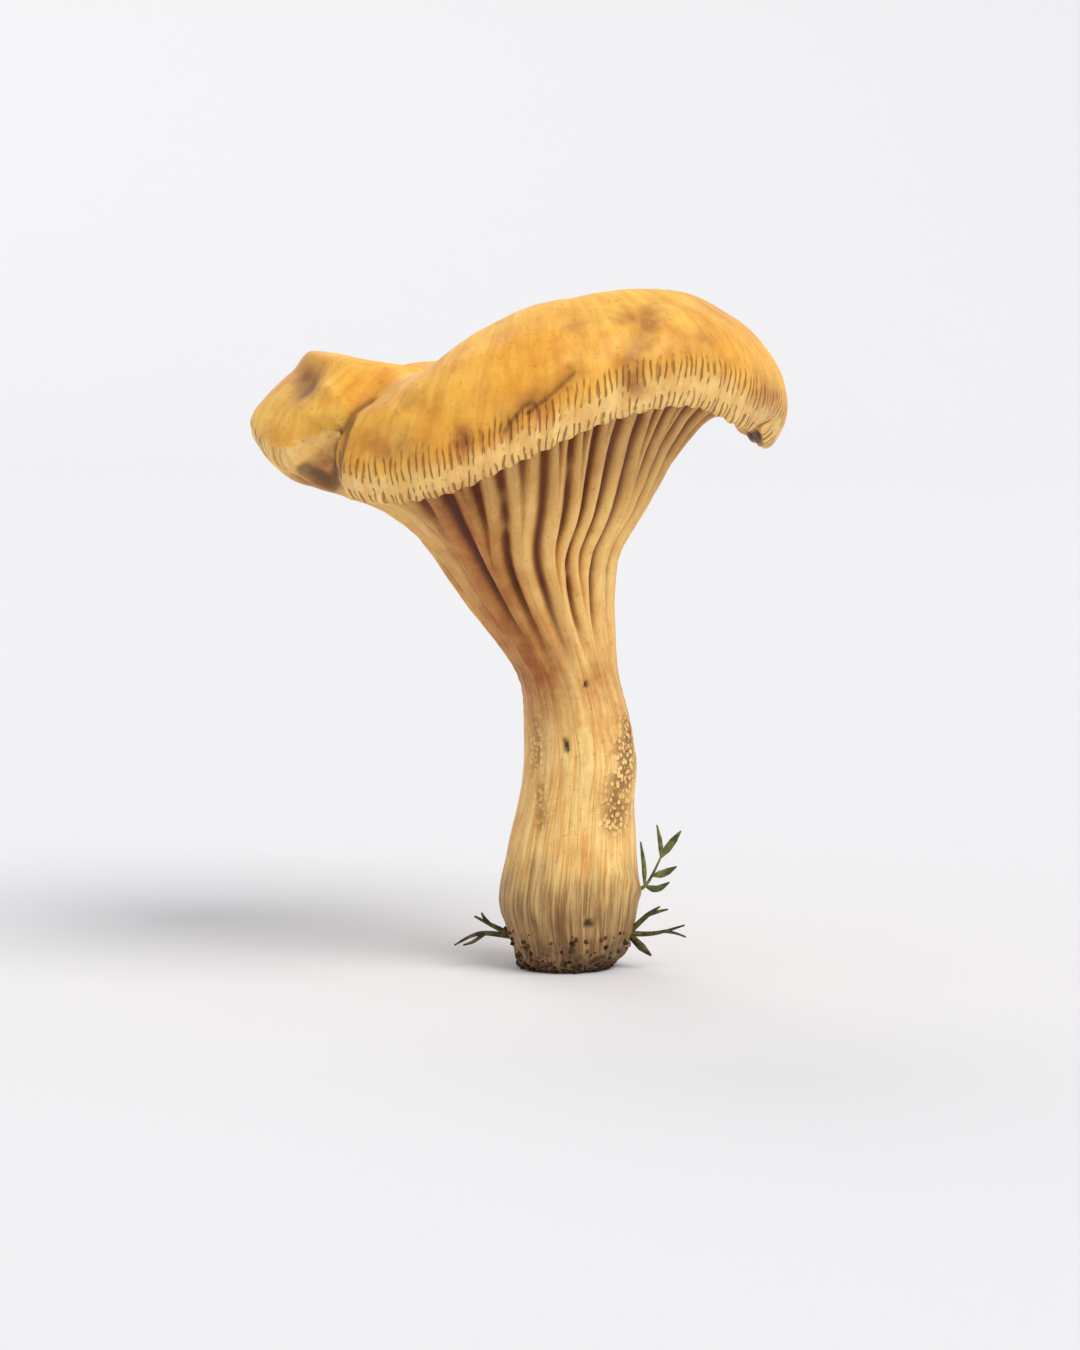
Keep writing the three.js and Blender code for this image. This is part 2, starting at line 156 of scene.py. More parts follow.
def bell(degrees, at, width):
    away = (degrees - at + 180.0) % 360.0 - 180.0
    return np.exp(-((away / width) ** 2))


def chance(i, k):
    """A number from 0 to 1 that looks random and is the same each time."""
    x = np.sin(np.asarray(i, float) * 127.1 + k * 311.7) * 43758.5453
    return x - np.floor(x)


def polar(degrees, x, y, radius, z):
    a = np.radians(degrees)
    return np.stack([x + radius * np.cos(a), y + radius * np.sin(a), z + 0.0 * a], -1)


def profile(deg):
    """The profile's ring points in each direction, from the foot's edge to the funnel's middle."""
    split, nick = bell(deg, SPLIT_AT, SPLIT_WIDTH), bell(deg, NICK_AT, NICK_WIDTH)
    cx, cy = CAP_CENTRE
    rings = []
    for z, x, radius in STEM:
        oval = 1 + STEM_OVAL * np.cos(np.radians(2 * deg + STEM_TWIST * z)) * min(1.0, 0.3 + z / 20)
        rings.append(polar(deg, x, 0.0, radius * oval, z))
    for z, x, y, radius in NECK_SECTIONS:
        rings.append(polar(deg, x, y, radius, z))
    rim_radius, rim_height = around(RIM_RADIUS, deg), around(RIM_HEIGHT, deg)
    gill_top = around(GILL_TOP_HEIGHT, deg)
    edge_radius = rim_radius - SPLIT_DEPTH * split
    edge_height = rim_height + SPLIT_RISE * split + NICK_RISE * nick
    shoulder = SHOULDER_HEIGHT + SHOULDER_TILT * (np.minimum(gill_top, TILT_LIMIT) - LEVEL_GILL_TOP)
    top_radius = GILL_TOP_SHARE * rim_radius - TOP_HOLLOW * SPLIT_HOLLOW * split
    middle = mix(SHOULDER_RADIUS, top_radius, MIDDLE_OUT)
    rings.append(polar(deg, cx, cy, SHOULDER_RADIUS, shoulder))
    rings.append(polar(deg, cx, cy, middle, mix(shoulder, gill_top, MIDDLE_UP)))
    rings.append(polar(deg, cx, cy, top_radius, gill_top))
    turn = mix(top_radius, edge_radius, TURN_OUT) - TURN_HOLLOW * SPLIT_HOLLOW * split
    rings.append(polar(deg, cx, cy, turn, mix(gill_top, edge_height, 0.5)))
    rings.append(polar(deg, cx, cy, edge_radius, edge_height))
    bulge, roll = around(ROLL_BULGE, deg), around(ROLL_HEIGHT, deg)
    full_radius, full_height = rim_radius + bulge, rim_height + roll
    crest_radius, crest_height = around(CREST_RADIUS, deg), around(CREST_HEIGHT, deg)
    roundness = around(ROUNDNESS, deg)
    out_height = edge_height + roll * (1 - SPLIT_FLATTENS * split - NICK_FLATTENS * nick)
    rings.append(polar(deg, cx, cy, edge_radius + bulge * (1 - split), out_height))
    for lean, split_share, rise in SLOPE_RINGS:
        out = mix(lean / 90.0, math.sin(math.radians(lean)), roundness)
        up = mix(1 - lean / 90.0, math.cos(math.radians(lean)), roundness)
        pleat = bell(deg, SPLIT_AT + PLEAT_DRIFT * (1 - lean / 90.0), SPLIT_WIDTH)
        radius = mix(crest_radius, full_radius, out) - SPLIT_DEPTH * pleat * split_share
        z = mix(full_height, crest_height, up) + rise * pleat
        rings.append(polar(deg, cx, cy, radius, z))
    rings.append(polar(deg, cx, cy, crest_radius, crest_height))
    fx, fy = FUNNEL_CENTRE
    for share, up in FUNNEL_WALL:
        z = mix(FUNNEL_FLOOR, crest_height, up)
        rings.append(polar(deg, mix(fx, cx, share), mix(fy, cy, share), share * crest_radius, z))
    rings.append(polar(deg, fx, fy, 0.0 * deg, FUNNEL_FLOOR))
    return rings


def body_points(deg, t):
    """Points of the smooth body at t, a ring number that need not be whole."""
    rings = profile(deg)
    k = min(int(t), LAST_RING - 1)
    a, b, c, d = (rings[min(max(i, 0), LAST_RING)] for i in (k - 1, k, k + 1, k + 2))
    if k == 0:
        a = 2 * b - c
    return between(a, b, c, d, t - k)


def parting(fork, count, seed, u):
    """How far the branches of each of count forks have parted at u."""
    first, spread, length = fork
    start = first + spread * chance(np.arange(count), seed)
    return mix(FORK_START, 1.0, smooth(u, start, start + length))


def forks(u):
    """The same for each late fork, of two gills, and each early one, of four."""
    return parting(LATE_FORK, GILLS // 2, 1, u), parting(EARLY_FORK, GILLS // 4, 2, u)


def column_directions(columns, t):
    """The direction of each column of points, which follows the gills where there are gills."""
    u = min(max((t - NECK) / (RIM - NECK), 0.0), 1.0)
    late, early = forks(u)
    i = np.arange(GILLS)
    pitch = 360.0 / GILLS
    pair, four = i // 2, i // 4
    pair_middle, four_middle = (pair * 2 + 0.5) * pitch, (four * 4 + 1.5) * pitch
    sway = GILL_SWAY * np.sin(SWAY_TURN * u + 2 * math.pi * chance(four, 3))
    sway = sway + GILL_SHIFT * (chance(four, 4) - 0.5)
    from_pair = late[pair] * (i * pitch - pair_middle)
    lead = four_middle + early[four] * (pair_middle - four_middle) + from_pair
    lead = lead + sway * (1 - smooth(u, 0.85, 1.05))
    lead = np.concatenate([lead[-1:] - 360.0, lead, lead[:2] + 360.0])
    along = np.interp(columns, np.arange(-1, GILLS + 2), lead)
    weight = float(smooth(t, 3, 8.5) * (1 - smooth(t, RIM - 1, RIM + 1)))
    return mix(columns * pitch, along, weight)


def gill_shape(columns, t):
    """How high each point is on its gill (1 is the crest) and how open its valley is."""
    u = min(max((t - NECK) / (RIM - NECK), 0.0), 1.0)
    late, early = forks(u)
    i = np.floor(columns).astype(int) % GILLS
    parted = lambda fork: (fork - FORK_START) / (1 - FORK_START)
    valley = np.where(i % 4 == 1, parted(early[i // 4]), 1.0)
    valley = np.where(i % 2 == 0, parted(late[i // 2]), valley)
    f = columns - np.floor(columns)
    away = 2 * np.minimum(f, 1 - f)
    deep = valley * smooth(away, *VALLEY_WALL)
    vein = 0.0 * columns
    for k in range(VEINS):
        at = VEIN_FIRST + VEIN_SPREAD * chance(i, 10 + k)
        there = chance(i, 20 + k) > VEIN_RARITY
        slant = VEIN_SLANT * (chance(i, 30 + k) - 0.5) * (f - 0.5)
        vein = np.maximum(vein, there * np.exp(-(((u - at + slant) / VEIN_WIDTH) ** 2)))
    return deep * (1 - VEIN_FILL * vein)


# The surface

def fine_noise(points, size, seed):
    """Smooth noise from -1 to 1 whose features are about size millimetres."""
    scaled = points / size + seed * 17.13
    return np.array([noise.noise(Vector(p)) for p in scaled.reshape(-1, 3)]).reshape(points.shape[:-1])


def seen(points):
    """How far right of the view's middle and above it each point appears, in millimetres at the stem."""
    tilt = math.radians(VIEW_ELEVATION)
    away = points - np.array(VIEW_MIDDLE)
    depth = VIEW_DISTANCE + away[..., 1] * math.cos(tilt) - away[..., 2] * math.sin(tilt)
    up = away[..., 2] * math.cos(tilt) + away[..., 1] * math.sin(tilt)
    return VIEW_DISTANCE * away[..., 0] / depth, VIEW_DISTANCE * up / depth


def spot(view, right, up, wide, tall, turn=0.0):
    """A soft spot at a place in the view, in millimetres, turned anticlockwise."""
    dx, dz = view[0] - right, view[1] - up
    c, s = math.cos(math.radians(turn)), math.sin(math.radians(turn))
    return np.exp(-(((dx * c + dz * s) / wide) ** 2) - (((dz * c - dx * s) / tall) ** 2))


def stroke(view, path, wide):
    """A soft line along a path in the view, in millimetres."""
    gap = np.full(view[0].shape, 1e6)
    for (x0, z0), (x1, z1) in zip(path, path[1:]):
        dx, dz = x1 - x0, z1 - z0
        share = ((view[0] - x0) * dx + (view[1] - z0) * dz) / (dx * dx + dz * dz)
        share = np.clip(share, 0.0, 1.0)
        gap = np.minimum(gap, np.hypot(view[0] - x0 - share * dx, view[1] - z0 - share * dz))
    return np.exp(-((gap / wide) ** 2))


# Marks of the front, each by its place in the view, in millimetres. A spot has its place across
# and up, half its width and height, and its turn. A line has its points and half its width.
# The left lobe's hollow, dented and darkened with painted shade.
LOBE_HOLLOW = (-33.2, 41.0, 2.1, 3.4, -30.0)
LOBE_RIDGE = (-29.4, 39.8, 0.8, 2.4, 42.0)
# The lobes' edges are creases, darkened with painted shade.
FRONT_LOBE_EDGE = (((-26.2, 36.9), (-27.4, 34.3), (-28.3, 30.2), (-28.6, 27.2), (-28.0, 26.0)), 0.6)
LEFT_LOBE_EDGE = (((-23.6, 38.8), (-26.5, 36.8), (-28.6, 33.6), (-32.2, 29.4)), 0.55)
# The split's mouth and its corner: painted shade in the pocket under the split.
SPLIT_MOUTH = (((-33.2, 29.0), (-30.8, 27.8), (-28.8, 26.9)), 1.0)
SPLIT_CORNER = (((-28.8, 26.9), (-28.5, 29.8), (-28.0, 32.6)), 0.5)
# Folds, darkened with painted shade along them and on their banks.
FOLDS = (
    ((-5.0, 33.8), (-3.9, 35.7), (-2.5, 37.4), (-1.1, 38.4)),
    ((-1.7, 36.7), (0.7, 38.5), (2.5, 40.2), (4.6, 42.3)),
)
FOLD_WIDTH, FOLD_BANK_WIDTH = 0.6, 1.7
FOLD_RIDGE = (((-4.6, 37.4), (-2.0, 39.4), (0.6, 41.2), (3.0, 43.2)), 1.3)
# A valley in the cap, dented and darkened with painted shade.
CAP_VALLEY = (((15.4, 50.4), (14.0, 46.9), (12.6, 43.4), (12.9, 40.2)), 2.2)
# Each dip is a spot with its depth and how much darker it is: painted shade, brown like a bruise.
CAP_DIPS = (
    (-21.3, 32.2, 4.8, 2.7, -12.0, 0.45, 0.72),
    (-11.1, 32.7, 1.7, 2.3, 0.0, 0.45, 0.95),
    (-18.2, 38.2, 6.5, 1.9, -20.0, 0.30, 0.42),
    (1.4, 38.4, 1.6, 3.8, -45.0, 0.30, 0.62),
    (5.9, 48.9, 3.0, 1.8, -15.0, 0.25, 0.50),
    (13.2, 50.4, 3.2, 1.6, 0.0, 0.25, 0.55),
    (21.4, 45.6, 5.5, 4.6, 0.0, 0.30, 0.46),
    (31.9, 39.4, 2.6, 3.6, 0.0, 0.10, 0.62),
)
# Painted shade on the gills at the front left.
GILL_PAINTED_SHADE = (((-11.9, 23.8), (-8.4, 16.1), (-4.9, 9.1), (-0.7, 0.7)), 5.4)
# Each patch of painted shade on the neck, below the cap, is a spot with its strength.
NECK_PAINTED_SHADES = ((0.2, -1.0, 4.2, 5.8, 0.0, 1.0), (8.4, -0.8, 3.2, 4.6, 0.0, 0.55))
# Pits in the stem, darkened inside with painted shade.
PITS = (
    (3.6, -9.9, 0.5, 1.35, 12.0),
    (6.6, -1.3, 0.5, 0.6, 0.0),
    (6.9, -35.0, 0.95, 0.75, 0.0),
)
PEBBLES = (((12.9, -7.0), (11.6, -14.0), (10.4, -20.4)), 2.0)
PEBBLE_STRIP = (((-0.6, -6.6), (-0.4, -13.3), (0.3, -21.0)), 0.9)
FOOT_LUMP = (((9.9, -27.2), (11.9, -28.4), (13.9, -30.4)), 0.9)
# Painted shade in the hollow inside the curled tip.
TIP_HOLLOW = (30.2, 33.3, 1.5, 1.1, -20.0)

# Sizes of lumps and grains in millimetres, and of fibres in their own measure.
LUMP_SIZE, BLOTCH_SIZE, GRIT_SIZE, CRUST_SIZE, PEBBLE_SIZE = 9.0, 3.2, 2.4, 1.7, 0.9
THREAD_SIZE, FINE_THREAD_SIZE = 1.0, 0.45
# Fibres are this fine round the body and along it, as they are measured for noise.
FIBRES_ROUND, FIBRES_ALONG = 8.0, 0.55
# Heights and depths of the relief, in millimetres.
GILL_GRIT, GILL_FIBRES = 0.14, 0.08
STEM_FIBRES, STEM_FINE_FIBRES, STEM_LUMPS = 0.15, 0.07, 0.22
CAP_LUMPS, CAP_GRIT, CAP_FIBRES = 0.26, 0.06, 0.10
RIB_HEIGHT, CRUST_HEIGHT, PEBBLE_HEIGHT, NECK_RING_HEIGHT = 0.16, 0.30, 0.22, 0.10
FOOT_LUMP_HEIGHT, LOBE_RIDGE_HEIGHT, FOLD_RIDGE_HEIGHT = 0.45, 0.35, 0.8
PIT_DEPTH, FOLD_DEPTH, FOLD_BANK_DEPTH, CREASE_DEPTH = 0.75, 0.4, 0.7, 0.5
LOBE_HOLLOW_DEPTH, VALLEY_DEPTH = 0.95, 0.8
# How far the rim's ribs wander, and the neck's rings: how close and how far they wander.
RIB_WANDER, NECK_RINGS, NECK_RING_WANDER = 0.35, 4.2, 3.0
# How strongly painted shade darkens folds and hollows, from 0 to 1.
FOLD_SHADE, BANK_SHADE, CREASE_SHADE, POCKET_SHADE = 0.85, 0.55, 0.65, 0.9
LOBE_SHADE, VALLEY_SHADE = 0.95, 0.9


def mushroom():
    """The body's points, the direction of its fibres and what its material reads at each point."""
    ts = np.concatenate([np.linspace(a, b, (b - a) * n, endpoint=False) for a, b, n, _ in ROW_PLAN])
    columns = np.arange(COLUMNS) * GILLS / COLUMNS
    directions = np.array([column_directions(columns, t) for t in ts])
    base = np.array([body_points(deg, t) for deg, t in zip(directions, ts)])
    across = np.roll(base, -1, 1) - np.roll(base, 1, 1)
    along = np.gradient(base, axis=0)
    normal = np.cross(across, along)
    normal /= np.linalg.norm(normal, axis=2)[..., None] + 1e-9
    t = ts[:, None] + 0.0 * directions
    z = base[..., 2]
    view = seen(base)
    front = smooth(-base[..., 1], -4.0, 2.0)

    on_gills = smooth(t, 7.2, 10.6) * (1 - smooth(t, RIM - 1.5, RIM - 0.1))
    on_gills = on_gills * (1 - bell(directions, SPLIT_AT, SMOOTH_BY_SPLIT))
    on_stem = 1 - smooth(t, 7.5, 10.5)
    on_cap = smooth(t, RIM - 0.6, RIM + 0.6)
    on_slope = smooth(t, RIM + 0.9, RIM + 1.6)
    on_lip = smooth(t, RIM - 1.2, RIM - 0.3) * (1 - smooth(t, RIM + 0.3, RIM + 1.3))
    on_foot = 1 - smooth(z, 2.0, 13.0)
    deep = np.array([gill_shape(columns, row) for row in ts])

    angle = np.radians(columns * 360.0 / GILLS)[None, :] + 0.0 * t
    fibre = np.stack([np.cos(angle) * FIBRES_ROUND, np.sin(angle) * FIBRES_ROUND, t * FIBRES_ALONG], -1)
    lumps = fine_noise(base, LUMP_SIZE, 1)
    grit = fine_noise(base, GRIT_SIZE, 2)
    threads = fine_noise(fibre, THREAD_SIZE, 3)
    fine_threads = fine_noise(fibre, FINE_THREAD_SIZE, 4)
    crust = fine_noise(base, CRUST_SIZE, 5)
    blotch = fine_noise(base, BLOTCH_SIZE, 6)
    pebbly = fine_noise(base, PEBBLE_SIZE, 7)

    outside = on_cap * front * (1 - smooth(t, CREST - 0.6, CREST + 0.2))
    folds = np.maximum.reduce([stroke(view, path, FOLD_WIDTH) for path in FOLDS]) * outside
    fold_banks = np.maximum.reduce([stroke(view, path, FOLD_BANK_WIDTH) for path in FOLDS]) * outside
    creases = np.maximum(stroke(view, *FRONT_LOBE_EDGE), stroke(view, *LEFT_LOBE_EDGE)) * outside
    lobe_hollow = spot(view, *LOBE_HOLLOW) * outside
    cap_valley = stroke(view, *CAP_VALLEY) * outside
    dips = [(spot(view, *place), depth, dark) for *place, depth, dark in CAP_DIPS]
    pits = np.maximum.reduce([spot(view, *pit) for pit in PITS]) * on_stem * front
    pebbles = np.maximum(stroke(view, *PEBBLES), 0.6 * stroke(view, *PEBBLE_STRIP))
    pebbles = pebbles * on_stem * front * smooth(blotch, -0.6, -0.1)
    # The neck below the cap, for its painted shade and its fine rings: spots at the front and a band all
    # round.
    neck = np.maximum.reduce([power * spot(view, *place) for *place, power in NECK_PAINTED_SHADES]) * front
    neck = np.maximum(neck, 0.35 * np.exp(-(((z - 40.5) / 5.0) ** 2)) * on_stem)

    height = GILL_HEIGHT * on_gills * (0.5 - deep)
    height += on_gills * (GILL_GRIT * grit + GILL_FIBRES * threads)
    stem_skin = STEM_FIBRES * threads + STEM_FINE_FIBRES * fine_threads + STEM_LUMPS * lumps
    height += on_stem * stem_skin * smooth(z, 0.2, 2.0)
    height += on_cap * (CAP_LUMPS * lumps + CAP_GRIT * grit)
    height += on_slope * CAP_FIBRES * threads
    height += RIB_HEIGHT * np.sin(2 * math.pi * (columns[None, :] + RIB_WANDER * lumps)) * on_lip
    height += on_foot * CRUST_HEIGHT * crust * smooth(z, 0.1, 1.2)
    neck_rings = np.sin(NECK_RINGS * z + NECK_RING_WANDER * blotch)
    height += PEBBLE_HEIGHT * pebbles * pebbly + NECK_RING_HEIGHT * neck * neck_rings * on_stem
    height += FOOT_LUMP_HEIGHT * stroke(view, *FOOT_LUMP) * on_stem * front
    height -= PIT_DEPTH * pits + FOLD_DEPTH * folds + FOLD_BANK_DEPTH * fold_banks
    height -= CREASE_DEPTH * creases + LOBE_HOLLOW_DEPTH * lobe_hollow + VALLEY_DEPTH * cap_valley
    height -= outside * np.maximum.reduce([depth * dip for dip, depth, _ in dips])
    height += outside * LOBE_RIDGE_HEIGHT * spot(view, *LOBE_RIDGE)
    height += outside * FOLD_RIDGE_HEIGHT * stroke(view, *FOLD_RIDGE)
    points = base + normal * height[..., None]
    points[..., 2] = np.maximum(points[..., 2], 0.0)
    points[0, :, 2] = 0.0

    # Darker brown in the dips, folds, creases, hollows and the split's pocket: painted shade brown like a
    # bruise, with faint random blotches.
    dip_bruise_and_shade = np.maximum.reduce([dark * dip for dip, _, dark in dips]) * outside
    stain_and_shade = dip_bruise_and_shade * (1.0 + 0.6 * blotch) + 0.06 * blotch
    # Painted shade along the folds, their banks and the creases.
    stain_and_shade = np.maximum.reduce([stain_and_shade, FOLD_SHADE * folds, BANK_SHADE * fold_banks])
    stain_and_shade = np.maximum.reduce([stain_and_shade, CREASE_SHADE * creases, LOBE_SHADE * lobe_hollow])
    # Painted shade in the cap's valley.
    stain_and_shade = np.maximum(stain_and_shade, VALLEY_SHADE * cap_valley)
    # Painted shade on the front left gills and on the neck.
    painted_shade = stroke(view, *GILL_PAINTED_SHADE) * (1 - on_cap) * front
    painted_shade = np.maximum(painted_shade, neck * (0.95 + 0.5 * threads))
    # Painted shade in the split's mouth and in the pocket under it.
    mouth = np.maximum(stroke(view, *SPLIT_MOUTH), stroke(view, *SPLIT_CORNER))
    mouth = smooth(mouth, 0.1, 0.8) * bell(directions, SPLIT_AT, 14.0)
    beneath = 1 - smooth(t, RIM - 0.35, RIM - 0.05)
    pocket = bell(directions, SPLIT_AT - 3.0, 7.0) * smooth(t, RIM - 2.6, RIM - 0.9) * beneath
    stain_and_shade = np.maximum(stain_and_shade, POCKET_SHADE * pocket)
    # Painted shade inside the curled tip.
    tip = smooth(spot(view, *TIP_HOLLOW), 0.2, 0.6) * beneath
    # Painted shade in the cores of the folds and creases.
    lines = 0.5 * smooth(np.maximum(folds, creases), 0.5, 1.0)
    # Painted shade in the pits.
    pit = smooth(pits, 0.3, 0.75)
    # Painted shade in the left lobe's hollow.
    lobe_dark = 0.45 * smooth(lobe_hollow, 0.4, 0.9)
    # All painted shade in hollows: pits, the split, the curled tip, folds, creases and the lobe's hollow.
    hollow_shade = np.maximum.reduce([pit, 0.9 * mouth * beneath, tip, lines, lobe_dark])
    earthy = smooth(-z + 2.4 * blotch + 2.6 * threads, -19.0, -7.5)
    soil = smooth(-z + 2.2 * blotch + 1.2 * grit, -6.5, -0.2)
    data = {
        "valley": deep * on_gills,
        # Painted shade on the gills just under the rim.
        "shade_under_lip": on_gills * smooth(t, RIM - 4.6, RIM - 2.4),
        # Painted shade in bruise brown, with faint random blotches.
        "stain_and_shade": np.clip(stain_and_shade, 0.0, 1.0),
        # Painted shade on the gills and the neck.
        "painted_shade": np.clip(painted_shade, 0.0, 1.0),
        # Painted shade in hollows.
        "hollow_shade": np.clip(hollow_shade, 0.0, 1.0),
        "pebbles": pebbles,
        "earthy": earthy,
        "soil": soil,
        "cap": on_cap,
        "stem": on_stem,
        "way": t - RIM,
        "left_lobe": bell(directions, 186.0, 20.0),
        "lined": 1 - bell(directions, SPLIT_AT - 4.0, 8.0),
        "funnel": smooth(t, CREST + 0.2, CREST + 2.0),
    }
    return points, fibre, data


def linked_piece(name, verts, faces, material, rounded=True):
    mesh = bpy.data.meshes.new(name)
    mesh.from_pydata(verts, [], faces)
    mesh.polygons.foreach_set("use_smooth", [rounded] * len(mesh.polygons))
    mesh.materials.append(material)
    piece = bpy.data.objects.new(name, mesh)
    bpy.context.scene.collection.objects.link(piece)
    return piece


def row_steps():
    """How many columns each point of a row stands for."""
    return [step for a, b, n, step in ROW_PLAN for _ in range((b - a) * n)]


def body_piece(points, fibre, data, closed_ends, material):
    """The closed body. Where rows of different counts meet, three triangles join each pair."""
    steps = row_steps()
    starts, kept = [0], []
    for r, step in enumerate(steps):
        kept.extend(r * COLUMNS + np.arange(0, COLUMNS, step))
        starts.append(starts[-1] + COLUMNS // step)
    kept = np.array(kept)
    faces = []
    for r in range(len(steps) - 1):
        low, high = COLUMNS // steps[r], COLUMNS // steps[r + 1]
        a, b = starts[r], starts[r + 1]
        for j in range(min(low, high)):
            k = (j + 1) % min(low, high)
            if low == high:
                faces.append((a + j, a + k, b + k, b + j))
            elif low < high:
                faces += [(a + j, b + 2 * j + 1, b + 2 * j), (a + j, a + k, b + 2 * j + 1)]
                faces.append((a + k, b + 2 * k, b + 2 * j + 1))
            else:
                faces += [(a + 2 * j, a + 2 * j + 1, b + j), (a + 2 * j + 1, b + k, b + j)]
                faces.append((a + 2 * j + 1, a + 2 * k, b + k))
    foot, tip = starts[-1], starts[-1] + 1
    first, last = COLUMNS // steps[0], COLUMNS // steps[-1]
    faces += [((j + 1) % first, j, foot) for j in range(first)]
    top = starts[-2]
    faces += [(top + j, top + (j + 1) % last, tip) for j in range(last)]
    verts = np.concatenate([points.reshape(-1, 3)[kept], np.array(closed_ends, float)]) * MM
    piece = linked_piece("chanterelle_body", verts.tolist(), faces, material)
    for key, values in data.items():
        ends = [values[0].mean(), values[-1].mean()]
        flat = np.concatenate([values.reshape(-1)[kept], ends]).astype(np.float32)
        piece.data.attributes.new(key, "FLOAT", "POINT").data.foreach_set("value", flat)
    flat = np.concatenate([fibre.reshape(-1, 3)[kept], [fibre[0].mean(0)], [fibre[-1].mean(0)]])
    flat = flat.astype(np.float32).reshape(-1)
    piece.data.attributes.new("fibre", "FLOAT_VECTOR", "POINT").data.foreach_set("vector", flat)
    return piece


# The materials

def srgb(r, g, b):
    """A colour given as it looks on a screen, 0 to 255."""
    lin = lambda v: v / 12.92 if v <= 0.04045 else ((v + 0.055) / 1.055) ** 2.4
    return (lin(r / 255), lin(g / 255), lin(b / 255), 1.0)


class Nodes:
    """Short ways to build a material's nodes."""

    def __init__(self, name):
        self.material = bpy.data.materials.new(name)
        self.material.use_nodes = True
        self.tree = self.material.node_tree
        self.bsdf = self.tree.nodes["Principled BSDF"]

    def new(self, kind, **sockets):
        node = self.tree.nodes.new(kind)
        for key, value in sockets.items():
            self.put(node, key.replace("_", " "), value)
        return node

    def put(self, node, key, value):
        socket = node.inputs[key]
        if isinstance(value, bpy.types.NodeSocket):
            self.tree.links.new(value, socket)
        else:
            socket.default_value = value

    def data(self, name, output="Fac"):
        node = self.tree.nodes.new("ShaderNodeAttribute")
        node.attribute_name = name
        return node.outputs[output]

    def noise(self, vector, scale, detail=3.0, rough=0.55):
        node = self.new("ShaderNodeTexNoise", Vector=vector, Scale=scale, Detail=detail, Roughness=rough)
        return node.outputs["Fac"]

    def scaled(self, vector, factors):
        node = self.tree.nodes.new("ShaderNodeVectorMath")
        node.operation = "MULTIPLY"
        self.put(node, 0, vector)
        self.put(node, 1, factors)
        return node.outputs["Vector"]

    def parts(self, vector):
        """The vector's numbers along X, Y and Z."""
        node = self.new("ShaderNodeSeparateXYZ", Vector=vector)
        return list(node.outputs)

    def cells(self, vector, scale):
        """0 in the middle of each cell and about 1 between the cells."""
        node = self.new("ShaderNodeTexVoronoi", Vector=vector, Scale=scale)
        return node.outputs["Distance"]

    def math(self, how, a, b=0.0, clamp=False):
        node = self.tree.nodes.new("ShaderNodeMath")
        node.operation = how
        node.use_clamp = clamp
        self.put(node, 0, a)
        self.put(node, 1, b)
        return node.outputs[0]

    def span(self, value, low, high, to_low=0.0, to_high=1.0):
        node = self.tree.nodes.new("ShaderNodeMapRange")
        node.interpolation_type = "SMOOTHSTEP"
        ranges = {"Value": value, "From Min": low, "From Max": high, "To Min": to_low, "To Max": to_high}
        for key, item in ranges.items():
            self.put(node, key, item)
        return node.outputs["Result"]

    def blend(self, how, share, a, b):
        node = self.tree.nodes.new("ShaderNodeMix")
        node.data_type = "RGBA"
        node.blend_type = how
        self.put(node, 0, share)
        self.put(node, 6, a)
        self.put(node, 7, b)
        return node.outputs[2]

    def bump(self, height, distance, strength=1.0, normal=None):
        node = self.new("ShaderNodeBump", Height=height, Distance=distance, Strength=strength)
        if normal is not None:
            self.put(node, "Normal", normal)
        return node.outputs["Normal"]


# Colours of the flesh, as they look on a screen.
# The gills' valley colour is painted shade between the ridges, and the colour under the edge painted shade
# under the rim.
GILL_CREST, GILL_VALLEY_SHADE, SHADE_UNDER_EDGE = (253, 212, 128), (120, 54, 14), (128, 64, 18)
STEM_FIBRE, STEM_PALE = (238, 188, 100), (252, 220, 146)
# The pale edge colour is a painted highlight along the rolled edge.
CAP_DEEP, CAP_PALE, EDGE_HIGHLIGHT = (243, 178, 62), (251, 200, 88), (253, 218, 142)
# The last tint here darkens painted shade.
FIBRE_TINT, SPECKLE_TINT, PAINTED_SHADE_TINT = (214, 160, 96), (166, 108, 56), (178, 122, 70)
# The bruise brown darkens painted shade and faint blotches.
BRUISE_AND_SHADE, LINE_BROWN, PEBBLE_GAP = (156, 88, 32), (140, 78, 26), (126, 72, 28)
# The darkest colour here is painted shade in pits and hollows.
FUNNEL_TINT, EARTHY, HOLLOW_SHADE_DARK = (214, 150, 84), (104, 68, 38), (58, 32, 16)
SOIL_DARK, SOIL_PALE = (62, 44, 28), (112, 82, 52)
CRUMB_DARK, CRUMB_PALE, CRUMB_TINT = (52, 36, 24), (104, 78, 50), (110, 90, 70)
MOSS_DARK, MOSS_PALE = (50, 42, 24), (100, 92, 48)
LEAF_DARK, LEAF_PALE, PLANT_TINT = (70, 78, 38), (122, 128, 66), (120, 96, 60)
FLOOR_GREY = (226, 226, 229)
# How many fine lines there are round the edge, how far they wander and how much they lean.
EDGE_LINES, LINE_WANDER, LINE_LEAN = 200.0, 16.0, 2.2


